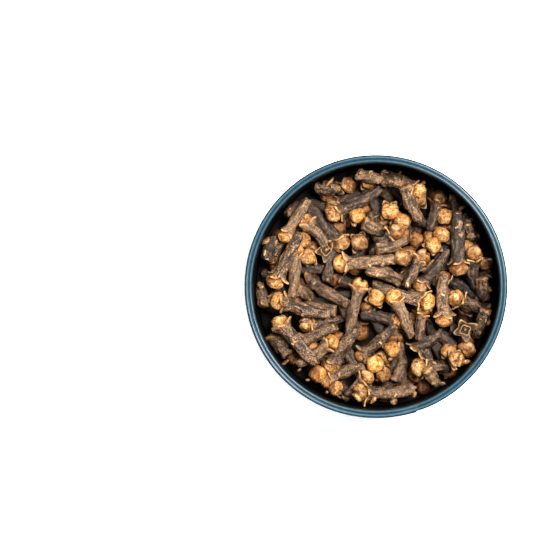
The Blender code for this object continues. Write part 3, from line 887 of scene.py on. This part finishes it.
# %% [markdown]
# ## A box of forms
#
# Real cloves differ in length, bend and lobes. A box of forms holds whole cloves of rising stem
# length, broken stems, open calyxes and loose buds, and each laid clove takes the form of its
# kind whose stem fits it best. Every form is drawn with its own seed.

# %% Make the forms
WHOLE_STEMS = np.array([5.5, 6.5, 7.5, 8.5, 9.2, 9.8, 10.3, 10.8, 11.3, 11.8, 12.4, 13.0, 13.8, 14.6]) * MM
BROKEN_STEMS = np.array([4.8, 6.0, 7.0, 8.0, 9.5, 11.0]) * MM
OPEN_STEMS = np.array([7.0, 9.5, 10.8, 12.0, 13.2]) * MM
form_plan = [("whole", stem) for stem in WHOLE_STEMS] + [("stem", stem) for stem in BROKEN_STEMS]
form_plan += [("open", stem) for stem in OPEN_STEMS] + [("bud", 0.0)] * 4
form_box = bpy.data.collections.new("clove forms")


def make_form(kind, number, stem):
    """One clove with its collar at the origin and its bud up."""
    rng = np.random.default_rng(100 + number)
    form = CloveForm()
    if kind != "bud":
        add_stem(form, stem, rng, kind == "stem", (-0.45 if kind == "open" else 0.35) * MM)
    if kind in ("whole", "open"):
        for quarter in range(4):
            add_lobe(form, quarter, rng, spread=1.15 if kind == "open" else 1.0)
    if kind in ("whole", "bud"):
        add_bud(form, rng, cracked=number % 4 == 2)
    if kind == "open":
        add_disc(form, rng)
    return form


for number, (kind, stem) in enumerate(form_plan):
    name = f"form_{number:02d}_{kind}"
    form_box.objects.link(bpy.data.objects.new(name, make_form(kind, number, stem).mesh(name)))


# %% [markdown]
# ## The finishes of a clove
#
# Dried clove is a matt, oily, grainy brown. The stem is a greyish brown, mottled at half a millimetre
# with tan specks and dark pits. Some stems have gone nearly black. The lobes are the same
# brown with pale edges. The bud's petals are thin and papery, golden tan, with a deep orange of painted shade in
# their folds.
# Painted highlight lightens the stems' ridges and the buds' lumps, and painted shade darkens the cloves further down
# in the heap, and a little by the wall.

# %% What the clove materials share
MOTTLE_SIZE = 0.4 * MM
SPECK_SIZE = 0.32 * MM
PATCH_SIZE = 2.6 * MM
# Painted shade starts 3.2 mm below the heap's top and is full 9 mm below it.
NO_SHADE_DEPTH, FULL_SHADE_DEPTH = 3.2 * MM, 9.0 * MM


def own_place(tree, tone):
    """The place on the clove's own skin, shifted by its tone so that no two cloves match."""
    shift = add_node(tree, "ShaderNodeVectorMath", {0: (0.31, 0.47, 0.73), "Scale": tone}, operation="SCALE")
    skin = add_node(tree, "ShaderNodeAttribute", output="Vector", attribute_name="skin")
    return add_node(tree, "ShaderNodeVectorMath", {0: skin, 1: shift}, operation="ADD")


def painted_depth_shade(tree):
    """How much painted shade a point gets: 0 at the heap's top, 1 deep in it, and never less than 0.15 by the wall.
    """
    _, from_axis, height = whereabouts(tree)
    depths = {"Value": height, 1: FILL_TOP - FULL_SHADE_DEPTH, 2: FILL_TOP - NO_SHADE_DEPTH}
    by_depth = add_node(tree, "ShaderNodeMapRange", depths)
    by_wall = add_node(tree, "ShaderNodeMapRange", {"Value": from_axis, 1: 23 * MM, 2: 30 * MM, 3: -1.0, 4: -0.85})
    return add_node(tree, "ShaderNodeMath", {0: by_depth, 1: by_wall, 2: 1.0}, operation="MULTIPLY_ADD")


# %% Build the clove materials
def clove_material(name, roughness, grain_depth, stops, stretch=1.0, **colours):
    """Mottled skin with pale edges and painted highlights, painted shade in folds and deep in the heap, and, on a
    few cloves, a blackened tone.
    """
    material, tree, shader = new_material(name, roughness, 0.35)
    tone, in_fold, on_edge = (
        add_node(tree, "ShaderNodeAttribute", output="Fac", attribute_name=name) for name in ("tone", "fold", "edge")
    )
    place = own_place(tree, tone)
    streaky = add_node(tree, "ShaderNodeVectorMath", {0: place, 1: (1.0, 1.0, stretch)}, operation="MULTIPLY")
    coarse = {"Vector": streaky, "Scale": 1 / MOTTLE_SIZE, "Detail": 4.0, "Roughness": 0.7, "Distortion": 0.6}
    mottle = add_node(tree, "ShaderNodeTexNoise", coarse)
    specks = add_node(tree, "ShaderNodeTexNoise", {"Vector": place, "Scale": 1 / SPECK_SIZE, "Detail": 2.0})
    patches = add_node(tree, "ShaderNodeTexNoise", {"Vector": place, "Scale": 1 / PATCH_SIZE, "Detail": 2.0})
    part = add_node(tree, "ShaderNodeMath", {0: specks, 1: 0.38}, operation="MULTIPLY")
    both = add_node(tree, "ShaderNodeMath", {0: mottle, 1: 0.62, 2: part}, operation="MULTIPLY_ADD")
    # How much there is of each thing: what decides it, from where to where, and the least and the most.
    amount = {}
    for thing, value, *ends in (
        ("speck", specks, 0.55, 0.63, 0.0, 0.65), ("blotch", patches, 0.4, 0.65, 0.0, 0.4),
        ("black", tone, 0.24, 0.08, 0.0, 1.0), ("tan", tone, 0.6, 1.0, 0.0, 0.4),
        ("shade", tone, 0.1, 1.0, 0.68, 1.13),
        ("fold", in_fold, 0.0, 1.0, 0.0, 0.8), ("edge", on_edge, 0.0, 1.0, 0.0, 0.75),
    ):
        amount[thing] = add_node(tree, "ShaderNodeMapRange", {"Value": value, **dict(enumerate(ends, 1))})
    skin = layered(
        tree, add_node(tree, "ShaderNodeValToRGB", {"Fac": both}, stops=stops),
        ("MIX", amount["speck"], colours["speck"]), ("MIX", amount["blotch"], colours["dark"]),
    )
    blackened = layered(tree, skin, ("MULTIPLY", 1.0, colours["oiled"]), ("MIX", 0.45, colours["dark"]))
    # Painted shade: the fold colour in folds, grooves and hollows, and the dull colour deep in the heap and by the
    # wall. The edge colour is pale edges and painted highlight.
    skin = layered(
        tree, skin,
        ("MIX", amount["black"], blackened), ("MIX", amount["tan"], colours["tan"]),
        ("MULTIPLY", 1.0, amount["shade"]),
        ("MIX", amount["fold"], colours["fold"]), ("MIX", amount["edge"], colours["edge"]),
        ("MULTIPLY", painted_depth_shade(tree), colours["dull"]),
    )
    dress(tree, shader, skin, both, 0.9, grain_depth)
    return material


# The oily skin gives small sparkles along the wrinkles, and its grain breaks them up. Its edge colour is painted
# highlight on the wrinkles' ridges, and its fold colour painted shade in their grooves.
stem_bark = clove_material(
    "dried clove stem, wrinkled and oily", 0.45, 0.6 * MM,
    [(0.41, "#0D0806"), (0.46, "#2C1E17"), (0.505, "#513C2F"), (0.54, "#725846"), (0.58, "#A07855"),
     (0.64, "#E6BA88")],
    stretch=0.55, edge="#92755B", fold="#110906", dark="#23292D", oiled="#6B655F", tan="#87684A",
    speck="#CE9A62", dull="#6B5842",
)
# The drier leaf gives a dull brown, with the pale outlines of its edges and painted shade in its hollow.
lobe_leaf = clove_material(
    "dried calyx lobe with pale thin edges", 0.55, 0.2 * MM,
    [(0.36, "#1C120B"), (0.47, "#463122"), (0.56, "#72533A"), (0.66, "#A87A4C")],
    edge="#D3A266", fold="#1D120B", dark="#23292D", oiled="#6B655F", tan="#9A7048",
    speck="#C99459", dull="#6B5842",
)
# The papery petals give soft, warm highlights, the brightest in the heap. Their edge colour is painted highlight,
# and their fold colour painted shade.
bud_petal = clove_material(
    "papery golden bud petals", 0.38, 0.5 * MM,
    [(0.39, "#502406"), (0.46, "#915013"), (0.51, "#BD7829"), (0.56, "#DFA24F"), (0.62, "#F8DBA6")],
    edge="#F6D7A0", fold="#4C2006", dark="#7C4812", oiled="#B48A5A", tan="#C98936",
    speck="#EFC486", dull="#775B38",
)
# The raw fibre gives a matt, pale spot at the stem's foot.
broken_end = clove_material(
    "pale broken end of a stem", 0.7, 0.2 * MM,
    [(0.38, "#4F341F"), (0.5, "#8C6239"), (0.64, "#C3925A")],
    edge="#D0A066", fold="#38241A", dark="#2C211A", oiled="#6B655F", tan="#C59A5C",
    speck="#E0B47A", dull="#6B5842",
)
ORGAN_FINISH = [stem_bark, lobe_leaf, bud_petal, broken_end]
print("clove materials:", [m.name for m in ORGAN_FINISH])

# %% [markdown]
# ## Scatter with Geometry Nodes
#
# One tree sets a form on every laid point. The points carry the form's number, the turn, the size
# and the tone of each clove; where no tone is given, the tree draws one. It makes the copies
# real, and gives each organ its material, because an export drops instances.


# %% The scatter tree
def scatter_tree():
    """The tree that sets forms on points."""
    tree = bpy.data.node_groups.new("scatter cloves", "GeometryNodeTree")
    sockets = tree.interface
    sockets.new_socket("Geometry", in_out="INPUT", socket_type="NodeSocketGeometry")
    sockets.new_socket("Forms", in_out="INPUT", socket_type="NodeSocketCollection")
    sockets.new_socket("Size", in_out="INPUT", socket_type="NodeSocketFloat").default_value = 1.0
    sockets.new_socket("Seed", in_out="INPUT", socket_type="NodeSocketInt").default_value = 5
    sockets.new_socket("Geometry", in_out="OUTPUT", socket_type="NodeSocketGeometry")
    given = add_node(tree, "NodeGroupInput").node.outputs
    told, turn, girth, form, organ = (
        add_node(tree, "GeometryNodeInputNamedAttribute", {"Name": name}, data_type=kind)
        for name, kind in (
            ("tone", "FLOAT"), ("turn", "FLOAT_VECTOR"), ("girth", "FLOAT"), ("form", "INT"), ("organ", "INT"))
    )
    drawn = add_node(tree, "FunctionNodeRandomValue", {2: 0.13, 3: 1.0, "Seed": given["Seed"]}, data_type="FLOAT")
    is_told = add_node(tree, "FunctionNodeCompare", {0: told, 1: 0.0}, operation="GREATER_EQUAL")
    tone = add_node(tree, "GeometryNodeSwitch", {0: is_told, 1: drawn, 2: told}, input_type="FLOAT")
    store = {"Geometry": given["Geometry"], "Name": "tone", "Value": tone}
    pick = {"Collection": given["Forms"], "Separate Children": True, "Reset Children": True}
    set_out = add_node(tree, "GeometryNodeInstanceOnPoints", {
        "Points": add_node(tree, "GeometryNodeStoreNamedAttribute", store),
        "Instance": add_node(tree, "GeometryNodeCollectionInfo", pick),
        "Pick Instance": True, "Instance Index": form,
        "Rotation": add_node(tree, "FunctionNodeEulerToRotation", {0: turn}),
        "Scale": add_node(tree, "ShaderNodeMath", {0: girth, 1: given["Size"]}, operation="MULTIPLY"),
    })
    real = add_node(tree, "GeometryNodeRealizeInstances", {"Geometry": set_out})
    for number, material in enumerate(ORGAN_FINISH):
        here = add_node(tree, "FunctionNodeCompare", {2: organ, 3: number}, data_type="INT", operation="EQUAL")
        finish = {"Geometry": real, "Selection": here, "Material": material}
        real = add_node(tree, "GeometryNodeSetMaterial", finish)
    add_node(tree, "NodeGroupOutput", {0: real})
    return tree


scatter = scatter_tree()
socket_of = {item.name: item.identifier for item in scatter.interface.items_tree if item.in_out == "INPUT"}
print("scatter inputs:", socket_of)

# %% [markdown]
# Most tones are left to chance. A few cloves on top stand out in the photograph, black, dark
# or pale, and get theirs by their place: 0 is black, 1 is the palest.

# %% Choose forms, turns and tones
KNOWN_TONES = {
    (19.1, 1.9): 0.02, (21.1, 7.2): 0.13, (10.8, -15.6): 0.2, (4.1, 13.6): 0.15, (25.6, 7.0): 0.15,
    (0.9, 9.8): 0.9, (-10.8, -6.5): 1.0, (-20.0, -0.6): 1.0, (8.0, 26.0): 0.8, (-16.3, 2.1): 0.85,
    (5.5, -4.0): 0.9, (-4.7, -1.5): 0.95, (12.4, -6.7): 0.95, (-13.1, 8.9): 0.14,
    (22.5, -10.9): 0.2, (-10.9, 25.2): 0.25,
}


def placing(clove):
    """The matrix that carries a clove from its own frame, bud up and collar at the origin."""
    turn = Matrix.Rotation(clove.heading, 4, "Z") @ Matrix.Rotation(math.pi / 2 - clove.tilt, 4, "Y")
    return Matrix.Translation(clove.collar) @ turn @ Matrix.Rotation(clove.roll, 4, "Z")


def form_for(clove):
    """The index of the form of the clove's kind whose stem fits it best."""
    own = [n for n, (kind, _) in enumerate(form_plan) if kind == clove.kind]
    if clove.kind == "bud":
        return own[int(clove.roll * 1000) % len(own)]
    return min(own, key=lambda n: abs(form_plan[n][1] - clove.stem / clove.girth))


def tone_of(clove):
    """The tone of a clove that stands out in the photograph, or -1 to have one drawn."""
    for (x, y), tone in KNOWN_TONES.items():
        if math.hypot(clove.collar[0] - x * MM, clove.collar[1] - y * MM) < 1.2 * MM:
            return tone
    return -1.0


# %% Build one piece of the heap
def scatter_piece(name, box, seed, places, turns, girths, tones, forms):
    """Sets forms from a box on places with the scatter tree, as one piece with a plain mesh."""
    points = bpy.data.meshes.new(name)
    points.from_pydata(places, [], [])
    set_attribute(points, "turn", "FLOAT_VECTOR", turns)
    set_attribute(points, "girth", "FLOAT", girths)
    set_attribute(points, "tone", "FLOAT", tones)
    set_attribute(points, "form", "INT", forms)
    piece = add_object(name, points)
    modifier = piece.modifiers.new("scatter", "NODES")
    modifier.node_group = scatter
    for socket, value in (("Forms", box), ("Size", 1.0), ("Seed", seed)):
        modifier[socket_of[socket]] = value
    plain_mesh(piece)
    add_to_model(piece, "cloves", "cloves")
    triangles = sum(len(face.vertices) - 2 for face in piece.data.polygons)
    print(f"{name}: {len(places)} forms, {triangles} triangles")
    return piece


def scattered(name, members, seed):
    """One piece of the heap, from laid cloves."""
    return scatter_piece(
        name, form_box, seed,
        places=[clove.collar for clove in members],
        turns=[tuple(placing(clove).to_euler()) for clove in members],
        girths=[clove.girth for clove in members],
        tones=[tone_of(clove) for clove in members],
        forms=[form_for(clove) for clove in members],
    )


FIRST_SEED = 11
whole, opened, stems, buds = (
    [clove for clove in cloves if clove.kind == kind] for kind in ("whole", "open", "stem", "bud")
)
whole.sort(key=lambda clove: clove.collar[2])
third = len(whole) // 3
shares = {
    "whole_cloves_low": whole[:third],
    "whole_cloves_middle": whole[third:2 * third],
    "whole_cloves_top": whole[2 * third:],
    "open_calyxes": opened,
    "broken_stems": stems,
    "loose_buds": buds,
}
heap = [scattered(name, members, seed) for seed, (name, members) in enumerate(shares.items(), FIRST_SEED)]

# %% [markdown]
# ## The bed
#
# Under the last cloves that can be seen lies a near-black bed, painted shade for the depths of the heap, with paler
# dust specks in it. It is one closed body that fills the bowl below, with a bumpy top.

# %% The bed
edge_radius = INNER_RADIUS - WALL_GAP
bed_top = [(edge_radius * share, bed_height(edge_radius * share)) for share in np.linspace(1, 0, 40)]
bed_profile = [(0.0, WALL + FOOT_RISE + WALL_GAP)] + inner_heel(WALL_GAP, 8) + bed_top
bed = turned("clove_bed", bed_profile, 128)
for vertex in bed.data.vertices:
    distance = math.hypot(vertex.co.x, vertex.co.y)
    if vertex.co.z > bed_height(distance) - 0.01 * MM:
        flat = Vector((vertex.co.x, vertex.co.y, 0))
        vertex.co.z += 0.7 * MM * noise.noise(flat / (1.6 * MM)) + 0.25 * MM * noise.noise(flat / (0.5 * MM))
bed.data.shade_smooth()
# Matt and nearly black, this painted shade keeps the gaps between the cloves dark.
deep_heap_shade, *_ = shade_coat_with_dust(
    "packed clove dust", 0.9, 0.1, SPECK_SIZE, 4.0, [(0.45, "#030202"), (0.62, "#090605"), (0.78, "#24180D")],
)
bed.data.materials.append(deep_heap_shade)
add_to_model(bed, "cloves", "cloves")
print("bed:", len(bed.data.polygons), "faces")

# %% [markdown]
# ## Crumbs
#
# Broken petals and bits of stem lie loose in the heap's gaps, and a few on the cloves. Rays dropped
# from above find where each one comes to rest. Bigger chips get stuck in the gap along the wall. The
# same tree as for the cloves sets chips of a few faces there.

# %% Make the chips
CRUMB_COUNT = 170
WEDGED_COUNT = 28
CRUMB_FORMS = 8
CRUMB_SIZE = 0.42 * MM
CRUMB_SEED = 21
ON_TOP_SHARE = 0.05
CHIP_SPACING = 3.5 * MM
crumb_box = bpy.data.collections.new("crumb forms")


def make_crumb(number):
    """An angular chip, with the attributes that the clove materials read."""
    rng = np.random.default_rng(500 + number)
    shape = bmesh.new()
    bmesh.ops.create_icosphere(shape, subdivisions=1, radius=CRUMB_SIZE)
    stretch = rng.uniform([0.9, 0.5, 0.3], [1.9, 1.0, 0.7])
    for vertex in shape.verts:
        vertex.co = Vector(np.array(vertex.co) * stretch * rng.uniform(0.75, 1.25))
    mesh = bpy.data.meshes.new(f"crumb_{number}")
    shape.to_mesh(mesh)
    shape.free()
    set_attribute(mesh, "skin", "FLOAT_VECTOR", places_of(mesh))
    set_attribute(mesh, "edge", "FLOAT", rng.uniform(0, 0.6, len(mesh.vertices)))
    set_attribute(mesh, "fold", "FLOAT", np.zeros(len(mesh.vertices)))
    organ = int(rng.choice([0, 0, 0, 1, 1, 2]))
    set_attribute(mesh, "organ", "INT", [organ] * len(mesh.polygons), "FACE")
    return mesh


for number in range(CRUMB_FORMS):
    mesh = make_crumb(number)
    crumb_box.objects.link(bpy.data.objects.new(mesh.name, mesh))


# %% Drop the crumbs
def about_axis(distance, turn, height):
    return Vector((distance * math.cos(turn), distance * math.sin(turn), height))


def dropped_points(count, surfaces, rng):
    """Points where rays from above first meet the surfaces, with the slope there."""
    found = []
    while len(found) < count:
        least = 0.84 if rng.random() < 0.55 else 0.0
        turn = rng.uniform(0, 2 * math.pi)
        distance = (INNER_RADIUS - 1.2 * MM) * math.sqrt(rng.uniform(least, 1))
        start = about_axis(distance, turn, BOWL_HEIGHT)
        hits = [hit for hit in (surface.ray_cast(start, Vector((0, 0, -1))) for surface in surfaces) if hit[0]]
        if hits:
            place, normal = max(hits, key=lambda hit: hit[0].z)[:2]
            deep = place.z < core_height(distance)
            if normal.z > 0.8 and (deep or rng.random() < ON_TOP_SHARE):
                found.append((place + normal * 0.15 * MM, normal))
    return found


def wedged_points(count, surfaces, rng):
    """Points in the gap between the wall and the cloves beside it, where bigger chips get stuck."""
    found = []
    for _ in range(40 * count):
        turn, distance = rng.uniform(0, 2 * math.pi), INNER_RADIUS - rng.uniform(0.7, 2.2) * MM
        place = about_axis(distance, turn, fill_limit(distance) - rng.uniform(2.0, 5.5) * MM)
        near = min(surface.find_nearest(place)[3] for surface in surfaces)
        alone = all((place - other).length > CHIP_SPACING for other, _ in found)
        if 0.25 * MM < near < 1.0 * MM and alone:
            x, y = math.cos(turn + rng.normal(0, 1)), math.sin(turn + rng.normal(0, 1))
            found.append((place, Vector((x, y, rng.normal(0.6, 0.4))).normalized()))
        if len(found) == count:
            break
    return found


def scatter_crumbs(cloves_shown, bed_shown):
    """Drops crumbs on the heap and its bed, and sets chips along the wall."""
    rng = np.random.default_rng(SEED)
    graph = bpy.context.evaluated_depsgraph_get()
    surfaces = [BVHTree.FromObject(obj, graph) for obj in (*cloves_shown, bed_shown)]
    wedged = wedged_points(WEDGED_COUNT, surfaces[:-1], rng)
    found = dropped_points(CRUMB_COUNT, surfaces, rng) + wedged
    turns = []
    for _, normal in found:
        spin = Matrix.Rotation(rng.uniform(0, 2 * math.pi), 3, "Z")
        turns.append(tuple((normal.to_track_quat("Z", "Y").to_matrix() @ spin).to_euler()))
    print("crumbs:", CRUMB_COUNT, "dropped and", len(wedged), "by the wall")
    return scatter_piece(
        "crumbs", crumb_box, CRUMB_SEED,
        places=[tuple(place) for place, _ in found],
        turns=turns,
        girths=np.append(rng.uniform(0.5, 1.9, CRUMB_COUNT), rng.uniform(1.4, 2.5, len(wedged))),
        tones=rng.uniform(0.2, 0.6, len(found)),
        forms=rng.integers(0, CRUMB_FORMS, len(found)),
    )


scatter_crumbs(heap, bed)
